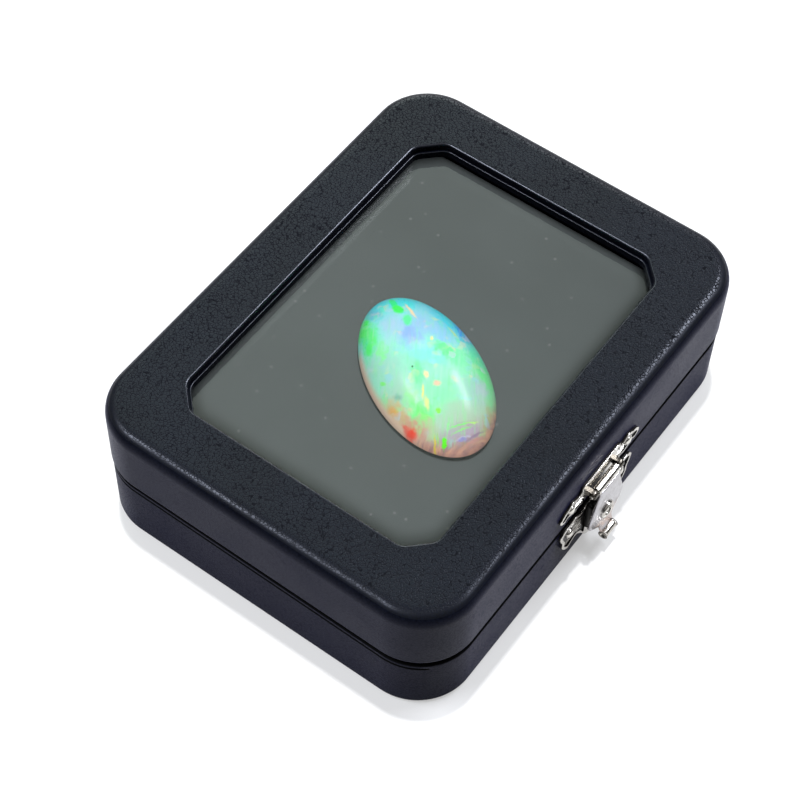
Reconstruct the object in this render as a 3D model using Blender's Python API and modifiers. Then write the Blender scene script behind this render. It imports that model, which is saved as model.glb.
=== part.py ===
# Opal cabochon in a leatherette display box with a glass window in its hinged lid.
# Metres, +Z up. The origin is at the bottom centre of the box. X runs along the long side,
# the front with the clasp faces -Y and the lid hinges are on the back, +Y.

import bpy
import bmesh
from math import pi, radians
from mathutils import Matrix, Vector

MM = 0.001
GAP = 0.3 * MM
INLAY = 0.06 * MM

# Box
BOX_LENGTH = 90.0 * MM
BOX_WIDTH = 69.0 * MM
BASE_HEIGHT = 13.4 * MM
LID_HEIGHT = 12.9 * MM
BOX_HEIGHT = BASE_HEIGHT + GAP + LID_HEIGHT
CORNER_RADIUS = 10.1 * MM
WALL = 3.0 * MM
FLOOR = 2.0 * MM
BASE_INSET = 0.15 * MM
BASE_EDGE = 0.9 * MM
RIM_EDGE = 0.4 * MM
TOP_EDGE = 2.7 * MM
CORNER_STEPS = 8

# Window, glass and what holds it
WINDOW_LENGTH = 68.3 * MM
WINDOW_WIDTH = 47.8 * MM
WINDOW_CHAMFER = 3.9 * MM
WINDOW_EDGE = 1.1 * MM
BOARD = 2.7 * MM
GLASS_LENGTH = 78.0 * MM
GLASS_WIDTH = 57.0 * MM
GLASS_THICKNESS = 2.0 * MM
LINER_LENGTH = 74.0 * MM
LINER_WIDTH = 53.4 * MM
LINER_THICKNESS = 1.7 * MM

# Pad and opal
PAD_TOP = 12.8 * MM
OPAL_HALF_LENGTH = 16.6 * MM
OPAL_HALF_WIDTH = 9.8 * MM
OPAL_DOME = 7.2 * MM
OPAL_BASE = 0.9 * MM
OPAL_TURN = radians(61.8)
OPAL_PLACE = (-0.36 * MM, -0.79 * MM)

# Lid hinges
HINGE_SPACING = 48.0 * MM
HINGE_WIDTH = 12.0 * MM
HINGE_AXIS_OUT = 1.4 * MM
HINGE_AXIS_Z = BASE_HEIGHT + GAP / 2
KNUCKLE_RADIUS = 1.1 * MM
KNUCKLE_MIDDLE = 3.4 * MM
LEAF = 0.6 * MM
LEAF_DROP = 6.9 * MM
HINGE_PIN_RADIUS = 0.4 * MM

# Clasp: it sits a little left of the middle of the front
CLASP_X = -0.4 * MM
PLATE = 0.6 * MM
BARREL_Z = 17.0 * MM
BARREL_OUT = 1.5 * MM
BARREL_RADIUS = 0.95 * MM
BARREL_LENGTH = 5.9 * MM
CLASP_KNUCKLE = 1.3 * MM
CLASP_PIN_RADIUS = 0.32 * MM
FLAP_BOTTOM = 4.4 * MM
FLAP_KICK = 8.6 * MM
STUD_Z = 10.0 * MM
STUD_RADIUS = 1.15 * MM
CURL_RADIUS = 0.75 * MM
CURL_LENGTH = 3.4 * MM

# Outlines of the right half of the two clasp plates, in millimetres from the clasp's middle line and
# from the table
UPPER_OUTLINE = [
    (4.6, 20.3), (5.3, 19.5), (6.2, 18.9), (7.2, 19.3), (8.3, 19.5), (9.3, 18.9), (10.3, 18.5),
    (11.3, 17.7), (11.2, 16.8), (10.2, 16.2), (9.2, 16.6), (8.2, 16.0), (7.1, 15.6), (6.0, 15.9),
    (5.0, 15.5), (4.3, 16.0), (3.3, 16.2), (3.3, 18.3),
]
LOWER_OUTLINE = [
    (3.2, 12.7), (4.2, 12.1), (5.5, 12.3), (6.9, 12.9), (8.5, 12.5), (10.2, 12.3), (11.3, 11.2),
    (10.9, 9.8), (10.3, 8.6), (10.3, 7.3), (9.4, 6.0), (8.3, 5.3), (7.1, 5.9), (5.9, 6.3),
    (4.7, 5.4), (3.5, 4.0), (2.6, 2.6), (1.3, 1.5),
]

# The flap's height above the table and its half width there, in millimetres: a neck at the barrel,
# two round lobes below the stud, a narrow tongue at the finger curl
FLAP_WIDTHS = [
    (17.0, 2.95), (15.8, 2.95), (14.4, 3.4), (13.0, 3.8), (11.5, 4.3), (10.0, 4.8), (8.6, 5.0),
    (7.6, 4.8), (6.8, 4.2), (6.2, 3.3), (5.7, 2.4), (5.2, 1.8), (4.2, 1.7),
]

COLOURS = {
    "leatherette": ((0.021, 0.024, 0.029), 0.5, 0.0),
    "foam": ((0.060, 0.064, 0.066), 0.95, 0.0),
    "board": ((0.016, 0.017, 0.019), 0.8, 0.0),
    "glass": ((0.85, 0.9, 0.9), 0.05, 0.0),
    "opal": ((0.66, 0.87, 0.76), 0.15, 0.0),
    "nickel": ((0.72, 0.71, 0.68), 0.25, 1.0),
}


def clear_scene():
    for item in list(bpy.data.objects):
        bpy.data.objects.remove(item, do_unlink=True)


def make_collection(name):
    collection = bpy.data.collections.new(name)
    bpy.context.scene.collection.children.link(collection)
    return collection


def material(name):
    found = bpy.data.materials.get(name)
    if found:
        return found
    colour, roughness, metallic = COLOURS[name]
    made = bpy.data.materials.new(name)
    made.use_nodes = True
    shader = made.node_tree.nodes["Principled BSDF"]
    shader.inputs["Base Color"].default_value = (*colour, 1.0)
    shader.inputs["Roughness"].default_value = roughness
    shader.inputs["Metallic"].default_value = metallic
    return made


def add_object(name, mesh, slot=None):
    item = bpy.data.objects.new(name, mesh)
    if slot:
        mesh.materials.clear()
        mesh.materials.append(material(slot))
        parts.objects.link(item)
    else:
        cutters.objects.link(item)
        item.hide_render = True
        item.display_type = "WIRE"
    return item


def from_bmesh(name, bm, slot=None):
    mesh = bpy.data.meshes.new(name)
    bmesh.ops.recalc_face_normals(bm, faces=bm.faces)
    bm.to_mesh(mesh)
    bm.free()
    return add_object(name, mesh, slot)


def settled(item, name, slot):
    # The object's evaluated mesh with its modifiers worked in, as a new object
    bpy.context.view_layer.update()
    graph = bpy.context.evaluated_depsgraph_get()
    mesh = bpy.data.meshes.new_from_object(item.evaluated_get(graph))
    mesh.name = name
    matrix = item.matrix_world.copy()
    bm = bmesh.new()
    bm.from_mesh(mesh)
    bmesh.ops.remove_doubles(bm, verts=bm.verts, dist=0.000001)
    bmesh.ops.recalc_face_normals(bm, faces=bm.faces)
    bm.to_mesh(mesh)
    bm.free()
    bpy.data.objects.remove(item, do_unlink=True)
    made = add_object(name, mesh, slot)
    made.matrix_world = matrix
    return made


def combine(item, other, operation):
    boolean = item.modifiers.new(operation.title(), "BOOLEAN")
    boolean.operation = operation
    boolean.solver = "EXACT"
    boolean.object = other


def smooth(item, angle=35.0):
    item.data.shade_smooth()
    item.data.set_sharp_from_angle(angle=radians(angle))


def is_upright(edge):
    low, high = edge.verts
    return abs(low.co.x - high.co.x) < 1e-6 and abs(low.co.y - high.co.y) < 1e-6


def lies_at(edge, z):
    return all(abs(vert.co.z - z) < 1e-6 for vert in edge.verts)


def round_edges(bm, edges, radius, steps):
    bmesh.ops.bevel(bm, geom=edges, offset=radius, offset_type="OFFSET", segments=steps,
                    profile=0.5, affect="EDGES", clamp_overlap=False)


def block(length, width, low, high, corner=0.0, steps=CORNER_STEPS):
    bm = bmesh.new()
    bmesh.ops.create_cube(bm, size=1.0)
    bmesh.ops.scale(bm, vec=(length, width, high - low), verts=bm.verts)
    bmesh.ops.translate(bm, vec=(0.0, 0.0, (low + high) / 2), verts=bm.verts)
    if corner:
        round_edges(bm, [edge for edge in bm.edges if is_upright(edge)], corner, steps)
    return bm


def round_rim(bm, z, radius, steps):
    round_edges(bm, [edge for edge in bm.edges if lies_at(edge, z)], radius, steps)


def build_tray():
    # Open base: board wrapped in leatherette, rounded below and just broken at the rim
    bm = block(BOX_LENGTH - 2 * BASE_INSET, BOX_WIDTH - 2 * BASE_INSET, 0.0, BASE_HEIGHT,
               CORNER_RADIUS - BASE_INSET)
    round_rim(bm, 0.0, BASE_EDGE, 3)
    round_rim(bm, BASE_HEIGHT, RIM_EDGE, 2)
    tray = from_bmesh("base_tray", bm, "leatherette")
    hollow = block(BOX_LENGTH - 2 * WALL, BOX_WIDTH - 2 * WALL, FLOOR, BASE_HEIGHT + 5 * MM,
                   CORNER_RADIUS - WALL)
    combine(tray, from_bmesh("tray_hollow", hollow), "DIFFERENCE")
    smooth(tray)


def build_pad():
    bm = block(BOX_LENGTH - 2 * WALL - 2 * GAP, BOX_WIDTH - 2 * WALL - 2 * GAP, FLOOR + GAP,
               PAD_TOP, CORNER_RADIUS - WALL - GAP)
    round_rim(bm, PAD_TOP, 0.5 * MM, 2)
    smooth(from_bmesh("foam_pad", bm, "foam"))


def build_opal():
    # Oval cabochon: high dome above the girdle, shallow rounded back below it
    bm = bmesh.new()
    bmesh.ops.create_uvsphere(bm, u_segments=44, v_segments=22, radius=1.0)
    girdle = PAD_TOP + GAP + OPAL_BASE
    for vert in bm.verts:
        reach = vert.co.x
        vert.co.x *= OPAL_HALF_LENGTH
        vert.co.y *= OPAL_HALF_WIDTH * (1.0 - 0.022 * reach)
        vert.co.z *= OPAL_DOME if vert.co.z > 0 else OPAL_BASE
    opal = from_bmesh("opal", bm, "opal")
    opal.location = (OPAL_PLACE[0], OPAL_PLACE[1], girdle)
    opal.rotation_euler = (0.0, 0.0, OPAL_TURN)
    opal.data.shade_smooth()


def window_cutter(name, length, width, low, high, chamfer, ease):
    # Rectangle with its corners cut off flat, and the two ends of each flat eased
    bm = block(length, width, low, high)
    round_edges(bm, [edge for edge in bm.edges if is_upright(edge)], chamfer, 1)
    round_edges(bm, [edge for edge in bm.edges if is_upright(edge)], ease, 3)
    return from_bmesh(name, bm)


def build_lid(lid_axis):
    low = BASE_HEIGHT + GAP
    bm = block(BOX_LENGTH, BOX_WIDTH, low, BOX_HEIGHT, CORNER_RADIUS)
    round_rim(bm, BOX_HEIGHT, TOP_EDGE, 5)
    round_rim(bm, low, RIM_EDGE, 2)
    lid = from_bmesh("lid_blank", bm, "leatherette")
    hollow = block(BOX_LENGTH - 2 * WALL, BOX_WIDTH - 2 * WALL, low - 5 * MM, BOX_HEIGHT - BOARD,
                   CORNER_RADIUS - WALL)
    combine(lid, from_bmesh("lid_hollow", hollow), "DIFFERENCE")
    window = window_cutter("lid_window", WINDOW_LENGTH, WINDOW_WIDTH, BOX_HEIGHT - 6 * MM,
                           BOX_HEIGHT + 5 * MM, WINDOW_CHAMFER, 1.2 * MM)
    combine(lid, window, "DIFFERENCE")
    lid = settled(lid, "lid_frame", "leatherette")
    bm = bmesh.new()
    bm.from_mesh(lid.data)
    lip = [edge for edge in bm.edges if is_window_lip(edge)]
    round_edges(bm, lip, WINDOW_EDGE, 3)
    bm.to_mesh(lid.data)
    bm.free()
    smooth(lid)
    ride(lid, lid_axis)


def is_window_lip(edge):
    # The window's upper edge: where its upright wall meets the flat top
    if not lies_at(edge, BOX_HEIGHT) or len(edge.link_faces) != 2:
        return False
    slopes = sorted(abs(face.normal.z) for face in edge.link_faces)
    return slopes[0] < 0.1 and slopes[1] > 0.9


def build_glass(lid_axis):
    high = BOX_HEIGHT - BOARD - GAP
    bm = block(GLASS_LENGTH, GLASS_WIDTH, high - GLASS_THICKNESS, high, 3.0 * MM, 4)
    glass = from_bmesh("glass_pane", bm, "glass")
    smooth(glass)
    ride(glass, lid_axis)


def build_liner(lid_axis):
    # Board frame under the glass, set back so that it can't be seen through the window
    high = BOX_HEIGHT - BOARD - GAP - GLASS_THICKNESS - GAP
    bm = block(BOX_LENGTH - 2 * WALL - 2 * GAP, BOX_WIDTH - 2 * WALL - 2 * GAP,
               high - LINER_THICKNESS, high, CORNER_RADIUS - WALL - GAP)
    liner = from_bmesh("glass_liner", bm, "board")
    inner = block(LINER_LENGTH, LINER_WIDTH, high - 8 * MM, high + 5 * MM, 3.0 * MM, 4)
    combine(liner, from_bmesh("liner_window", inner), "DIFFERENCE")
    smooth(liner)
    ride(liner, lid_axis)


def ride(item, axis):
    # Parent to the joint's empty and stay where it is
    bpy.context.view_layer.update()
    item.parent = axis
    item.matrix_parent_inverse = axis.matrix_world.inverted()


def bar(name, x_low, x_high, y, z, radius, steps=20):
    # Round bar along X
    bm = bmesh.new()
    bmesh.ops.create_cone(bm, cap_ends=True, segments=steps, radius1=radius, radius2=radius,
                          depth=x_high - x_low)
    bmesh.ops.rotate(bm, matrix=Matrix.Rotation(pi / 2, 3, "Y"), verts=bm.verts)
    bmesh.ops.translate(bm, vec=((x_low + x_high) / 2, y, z), verts=bm.verts)
    return from_bmesh(name, bm)


def plate(name, x_low, x_high, y_low, y_high, z_low, z_high, slot=None):
    bm = block(x_high - x_low, y_high - y_low, z_low, z_high)
    bmesh.ops.translate(bm, vec=((x_low + x_high) / 2, (y_low + y_high) / 2, 0.0), verts=bm.verts)
    return from_bmesh(name, bm, slot)


def build_hinge(side, middle, lid_axis):
    wall = BOX_WIDTH / 2
    axis_y = wall + HINGE_AXIS_OUT
    axis_z = HINGE_AXIS_Z
    near = wall + GAP
    far = near + LEAF
    half = HINGE_WIDTH / 2
    inner = KNUCKLE_MIDDLE / 2
    # Base leaf with the two outer knuckles and the pin
    leaf = plate("leaf_" + side, middle - half, middle + half, near, far, axis_z - LEAF_DROP,
                 axis_z - KNUCKLE_RADIUS - GAP, "nickel")
    for sign in (-1, 1):
        ends = sorted((middle + sign * (inner + GAP), middle + sign * half))
        tab = plate("tab_" + side + str(sign), ends[0] + INLAY, ends[1] - INLAY, near + INLAY, far,
                    axis_z - KNUCKLE_RADIUS - 1.0 * MM, axis_z)
        combine(leaf, tab, "UNION")
        knuckle = bar("knuckle_" + side + str(sign), ends[0], ends[1], axis_y, axis_z,
                      KNUCKLE_RADIUS)
        combine(leaf, knuckle, "UNION")
    pin = bar("pin_" + side, middle - half - 0.3 * MM, middle + half + 0.3 * MM, axis_y, axis_z,
              HINGE_PIN_RADIUS, 12)
    combine(leaf, pin, "UNION")
    smooth(settled(leaf, "hinge_base_leaf_" + side, "nickel"), 30)
    # Lid leaf with the middle knuckle, bored for the pin
    leaf = plate("lid_leaf_" + side, middle - half, middle + half, near, far,
                 axis_z + KNUCKLE_RADIUS + GAP, axis_z + LEAF_DROP, "nickel")
    tab = plate("lid_tab_" + side, middle - inner + INLAY, middle + inner - INLAY, near + INLAY, far,
                axis_z, axis_z + KNUCKLE_RADIUS + 1.0 * MM)
    combine(leaf, tab, "UNION")
    knuckle = bar("lid_knuckle_" + side, middle - inner, middle + inner, axis_y, axis_z,
                  KNUCKLE_RADIUS)
    combine(leaf, knuckle, "UNION")
    bore = bar("lid_bore_" + side, middle - half, middle + half, axis_y, axis_z,
               HINGE_PIN_RADIUS + GAP, 12)
    combine(leaf, bore, "DIFFERENCE")
    made = settled(leaf, "hinge_lid_leaf_" + side, "nickel")
    smooth(made, 30)
    ride(made, lid_axis)


def outline_plate(name, half_outline, y_out, thickness, slot):
    # A flat plate against the front: the half outline and its mirror image, drawn as a curve
    right = [Vector((x * MM, z * MM)) for x, z in half_outline]
    left = [Vector((-point.x, point.y)) for point in reversed(right)]
    points = right + left
    curve = bpy.data.curves.new(name, "CURVE")
    curve.dimensions = "2D"
    curve.fill_mode = "BOTH"
    curve.extrude = thickness / 2
    spline = curve.splines.new("POLY")
    spline.points.add(len(points) - 1)
    for spot, point in zip(spline.points, points):
        spot.co = (point.x, point.y, 0.0, 1.0)
    spline.use_cyclic_u = True
    drawn = bpy.data.objects.new(name + "_curve", curve)
    parts.objects.link(drawn)
    drawn.rotation_euler = (pi / 2, 0.0, 0.0)
    drawn.location = (CLASP_X, -BOX_WIDTH / 2 - y_out - thickness / 2, 0.0)
    return settled(drawn, name, slot)


def nail_head(name, x, y_face, z, radius):
    bm = bmesh.new()
    bmesh.ops.create_uvsphere(bm, u_segments=14, v_segments=8, radius=1.0)
    bmesh.ops.scale(bm, vec=(radius, radius * 0.55, radius), verts=bm.verts)
    bmesh.ops.rotate(bm, matrix=Matrix.Rotation(radians(7), 3, "Y"), verts=bm.verts)
    bmesh.ops.translate(bm, vec=(x, y_face + INLAY, z), verts=bm.verts)
    return from_bmesh(name, bm)


def build_upper_plate(lid_axis):
    # Scalloped plate on the lid with the two end knuckles and the pin of the flap
    front = -BOX_WIDTH / 2
    upper = outline_plate("upper_blank", UPPER_OUTLINE, GAP, PLATE, "nickel")
    reach = BARREL_LENGTH / 2
    for sign in (-1, 1):
        ends = sorted((CLASP_X + sign * (reach + GAP),
                       CLASP_X + sign * (reach + GAP + CLASP_KNUCKLE)))
        knuckle = bar("clasp_knuckle" + str(sign), ends[0], ends[1], front - BARREL_OUT, BARREL_Z,
                      BARREL_RADIUS)
        combine(upper, knuckle, "UNION")
        web = plate("clasp_web" + str(sign), ends[0] + 3 * INLAY, ends[1] - 3 * INLAY,
                    front - BARREL_OUT, front - GAP - 0.1 * MM, BARREL_Z - 0.5 * MM,
                    BARREL_Z + 0.8 * MM)
        combine(upper, web, "UNION")
        nail = nail_head("upper_nail" + str(sign), CLASP_X + sign * 8.2 * MM,
                         front - GAP - PLATE, 17.6 * MM, 0.9 * MM)
        combine(upper, nail, "UNION")
    pin = bar("clasp_pin", CLASP_X - reach - CLASP_KNUCKLE - GAP - 0.2 * MM,
              CLASP_X + reach + CLASP_KNUCKLE + GAP + 0.2 * MM, front - BARREL_OUT, BARREL_Z,
              CLASP_PIN_RADIUS, 12)
    combine(upper, pin, "UNION")
    made = settled(upper, "clasp_upper_plate", "nickel")
    smooth(made, 30)
    ride(made, lid_axis)


def build_lower_plate():
    # Scalloped plate on the base: a raised middle behind the flap and a tail below it
    front = -BOX_WIDTH / 2
    lower = outline_plate("lower_blank", LOWER_OUTLINE, GAP, PLATE, "nickel")
    bm = block(6.4 * MM, 1.2 * MM, 3.6 * MM, 11.9 * MM)
    round_edges(bm, [edge for edge in bm.edges if min(v.co.y for v in edge.verts) < -0.5 * MM],
                0.5 * MM, 2)
    bmesh.ops.translate(bm, vec=(CLASP_X, front - 0.9 * MM, 0.0), verts=bm.verts)
    combine(lower, from_bmesh("catch_block", bm), "UNION")
    for name, x, z in (("lower_nail_left", -8.0, 9.4), ("lower_nail_right", 8.0, 9.4)):
        nail = nail_head(name, CLASP_X + x * MM, front - GAP - PLATE, z * MM, 0.9 * MM)
        combine(lower, nail, "UNION")
    smooth(settled(lower, "clasp_lower_plate", "nickel"), 30)


def flap_half_width(z):
    height = z / MM
    for (high, wide), (low, narrow) in zip(FLAP_WIDTHS, FLAP_WIDTHS[1:]):
        if low <= height <= high:
            share = (high - height) / (high - low)
            return (wide + (narrow - wide) * share) * MM
    return FLAP_WIDTHS[-1][1] * MM


def flap_out(z):
    # The flap hangs straight from the barrel and kicks outwards below the stud
    kick = max(0.0, FLAP_KICK - z)
    return BARREL_OUT + 0.62 * MM + 0.055 * kick * kick / MM


def build_flap(flap_axis):
    front = -BOX_WIDTH / 2
    bm = bmesh.new()
    bmesh.ops.create_grid(bm, x_segments=8, y_segments=30, size=1.0)
    for vert in bm.verts:
        across = vert.co.x
        z = FLAP_BOTTOM + (BARREL_Z - FLAP_BOTTOM) * (vert.co.y + 1.0) / 2
        vert.co = (CLASP_X + across * flap_half_width(z), front - flap_out(z), z)
    sheet = from_bmesh("flap_sheet", bm, "nickel")
    solid = sheet.modifiers.new("Thickness", "SOLIDIFY")
    solid.thickness = 0.6 * MM
    solid.offset = 0.0
    reach = BARREL_LENGTH / 2
    barrel = bar("flap_barrel", CLASP_X - reach, CLASP_X + reach, front - BARREL_OUT, BARREL_Z,
                 BARREL_RADIUS)
    combine(sheet, barrel, "UNION")
    curl_out = flap_out(FLAP_BOTTOM) + 0.45 * MM
    curl = bar("flap_curl", CLASP_X - CURL_LENGTH / 2, CLASP_X + CURL_LENGTH / 2,
               front - curl_out, FLAP_BOTTOM - 0.2 * MM, CURL_RADIUS)
    combine(sheet, curl, "UNION")
    bm = bmesh.new()
    bmesh.ops.create_uvsphere(bm, u_segments=20, v_segments=12, radius=STUD_RADIUS)
    bmesh.ops.translate(bm, vec=(CLASP_X, front - flap_out(STUD_Z) - 0.2 * MM, STUD_Z),
                        verts=bm.verts)
    backless = from_bmesh("stud_ball", bm)
    behind = plate("stud_back", CLASP_X - 3 * MM, CLASP_X + 3 * MM,
                   front - flap_out(STUD_Z) + 0.1 * MM, front, STUD_Z - 3 * MM, STUD_Z + 3 * MM)
    combine(backless, behind, "DIFFERENCE")
    combine(sheet, backless, "UNION")
    bore = bar("flap_bore", CLASP_X - 2 * reach, CLASP_X + 2 * reach, front - BARREL_OUT, BARREL_Z,
               CLASP_PIN_RADIUS + GAP, 12)
    combine(sheet, bore, "DIFFERENCE")
    made = settled(sheet, "hasp_flap", "nickel")
    smooth(made, 30)
    ride(made, flap_axis)


def joint_empty(name, place, parent=None):
    empty = bpy.data.objects.new(name, None)
    empty.empty_display_size = 0.01
    parts.objects.link(empty)
    empty.location = place
    if parent:
        ride(empty, parent)
    bpy.context.view_layer.update()
    return empty


clear_scene()
parts = make_collection("opal_display_box")
cutters = make_collection("cutters")
lid_axis = joint_empty("lid_axis", (0.0, BOX_WIDTH / 2 + HINGE_AXIS_OUT, HINGE_AXIS_Z))
flap_axis = joint_empty("flap_axis", (CLASP_X, -BOX_WIDTH / 2 - BARREL_OUT, BARREL_Z), lid_axis)
build_tray()
build_pad()
build_opal()
build_lid(lid_axis)
build_glass(lid_axis)
build_liner(lid_axis)
build_hinge("left", -HINGE_SPACING / 2, lid_axis)
build_hinge("right", HINGE_SPACING / 2, lid_axis)
build_upper_plate(lid_axis)
build_lower_plate()
build_flap(flap_axis)
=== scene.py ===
# Opal cabochon in a leatherette box with a glass window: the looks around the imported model.
from math import cos, hypot, pi, radians, sin

import bmesh
import bpy
from mathutils import Matrix, Vector


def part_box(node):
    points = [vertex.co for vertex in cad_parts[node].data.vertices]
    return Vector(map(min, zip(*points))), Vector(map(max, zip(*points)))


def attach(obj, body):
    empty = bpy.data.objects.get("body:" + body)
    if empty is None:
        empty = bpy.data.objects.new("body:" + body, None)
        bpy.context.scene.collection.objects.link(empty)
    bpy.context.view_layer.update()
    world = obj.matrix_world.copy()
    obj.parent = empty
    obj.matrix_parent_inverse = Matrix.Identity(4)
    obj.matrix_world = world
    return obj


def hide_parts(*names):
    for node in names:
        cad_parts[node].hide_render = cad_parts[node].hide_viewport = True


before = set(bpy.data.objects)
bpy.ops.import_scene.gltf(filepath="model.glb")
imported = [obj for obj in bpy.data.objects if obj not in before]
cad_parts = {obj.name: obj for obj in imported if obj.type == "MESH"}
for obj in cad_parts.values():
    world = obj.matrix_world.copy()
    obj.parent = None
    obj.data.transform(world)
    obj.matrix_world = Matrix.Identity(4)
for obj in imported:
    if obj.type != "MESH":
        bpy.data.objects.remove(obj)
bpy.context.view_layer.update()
mm = 0.001
hair = 0.001 * mm  # what counts as the same place
slack = 0.02 * mm  # what a face's middle may be off by when it is picked out for its paint


# Small helpers for working as in the viewport: select in code, then run the operator

def deselectAll():
    if bpy.context.mode != "OBJECT":
        bpy.ops.object.mode_set(mode="OBJECT")
    bpy.ops.object.select_all(action="DESELECT")


def makeActive(piece):
    deselectAll()
    piece.select_set(True)
    bpy.context.view_layer.objects.active = piece


def editPiece(piece, kind="FACE"):
    makeActive(piece)
    bpy.ops.object.mode_set(mode="EDIT")
    bpy.ops.mesh.select_mode(type=kind)
    bpy.ops.mesh.select_all(action="DESELECT")


def pick(piece, test):
    # Selects what passes the test, in the edit mode that is on: vertices, edges or faces
    mesh = bmesh.from_edit_mesh(piece.data)
    mode = bpy.context.tool_settings.mesh_select_mode
    for item in mesh.verts if mode[0] else mesh.edges if mode[1] else mesh.faces:
        if test(item):
            item.select_set(True)
    mesh.select_flush_mode()
    bmesh.update_edit_mesh(piece.data)


def leaveEdit():
    bpy.ops.object.mode_set(mode="OBJECT")


def startPiece(name):
    piece = bpy.context.object
    piece.name = name
    piece.data.name = name
    bpy.ops.object.transform_apply(location=True, rotation=True, scale=True)
    return piece


def addBlock(name, size, low, middle=(0, 0)):
    deselectAll()
    bpy.ops.mesh.primitive_cube_add(size=1, location=(middle[0], middle[1], low + size[2] / 2))
    bpy.context.object.scale = size
    return startPiece(name)


def isUpright(edge):
    way = edge.verts[1].co - edge.verts[0].co
    return max(abs(way.x), abs(way.y)) < hair < abs(way.z)


def isAt(edge, z):
    return all(abs(v.co.z - z) < 2 * hair for v in edge.verts)


def isOver(face, size, margin):
    # Whether the middle of a face lies over a rectangle of this size round the box's middle
    return abs(face.center.x) < size[0] / 2 + margin and abs(face.center.y) < size[1] / 2 + margin


def bevelEdges(piece, test, width, steps, shape=0.5):
    editPiece(piece, "EDGE")
    pick(piece, test)
    bpy.ops.mesh.bevel(offset=width, offset_type="OFFSET", segments=steps, profile=shape,
                       affect="EDGES", clamp_overlap=False)
    leaveEdit()


def applyNow(piece, name, kind, **settings):
    # Adds a modifier and applies it
    makeActive(piece)
    made = piece.modifiers.new(name, kind)
    for key, value in settings.items():
        setattr(made, key, value)
    bpy.ops.object.modifier_apply(modifier=made.name)


def cutWith(piece, cutter):
    applyNow(piece, "Cut", "BOOLEAN", operation="DIFFERENCE", solver="EXACT", object=cutter)
    bpy.data.objects.remove(cutter, do_unlink=True)


def tidyMesh(piece):
    editPiece(piece, "VERT")
    bpy.ops.mesh.select_all(action="SELECT")
    bpy.ops.mesh.remove_doubles(threshold=hair)
    bpy.ops.mesh.normals_make_consistent(inside=False)
    leaveEdit()


def shadeSoft(piece, angle=38, weighted=True):
    makeActive(piece)
    bpy.ops.object.shade_smooth_by_angle(angle=radians(angle))
    if weighted:
        applyNow(piece, "Flat faces stay flat", "WEIGHTED_NORMAL", keep_sharp=True)


def addBar(name, start, end, radius, steps=24, endRadius=None):
    # A round bar between two points, or a cone where the end has a radius of its own
    start, end = Vector(start), Vector(end)
    deselectAll()
    bpy.ops.mesh.primitive_cone_add(vertices=steps, radius1=radius,
                                    radius2=radius if endRadius is None else endRadius,
                                    depth=(end - start).length, location=(start + end) / 2)
    bpy.context.object.rotation_euler = (end - start).to_track_quat("Z", "Y").to_euler()
    return startPiece(name)


def addBall(name, middle, size, steps=24):
    deselectAll()
    bpy.ops.mesh.primitive_uv_sphere_add(segments=steps, ring_count=steps // 2, radius=1.0, location=middle)
    bpy.context.object.scale = size
    return startPiece(name)


def joinInto(piece, others):
    makeActive(piece)
    for other in others:
        other.select_set(True)
    bpy.ops.object.join()


def copyPiece(piece, name, shift):
    makeActive(piece)
    bpy.ops.object.duplicate(linked=False)
    twin = bpy.context.object
    twin.location = shift
    return startPiece(name)


def settle(piece, place, turn):
    # Puts a piece at its place and turns it, and keeps both in its mesh
    makeActive(piece)
    piece.rotation_euler = turn
    piece.location = place
    bpy.ops.object.transform_apply(location=True, rotation=True, scale=True)


def paint(piece, *materials):
    piece.data.materials.clear()
    for material in materials:
        piece.data.materials.append(material)


def paintWhere(piece, material, test):
    index = piece.data.materials.find(material.name)
    for face in piece.data.polygons:
        if test(face):
            face.material_index = index


# Materials

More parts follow.
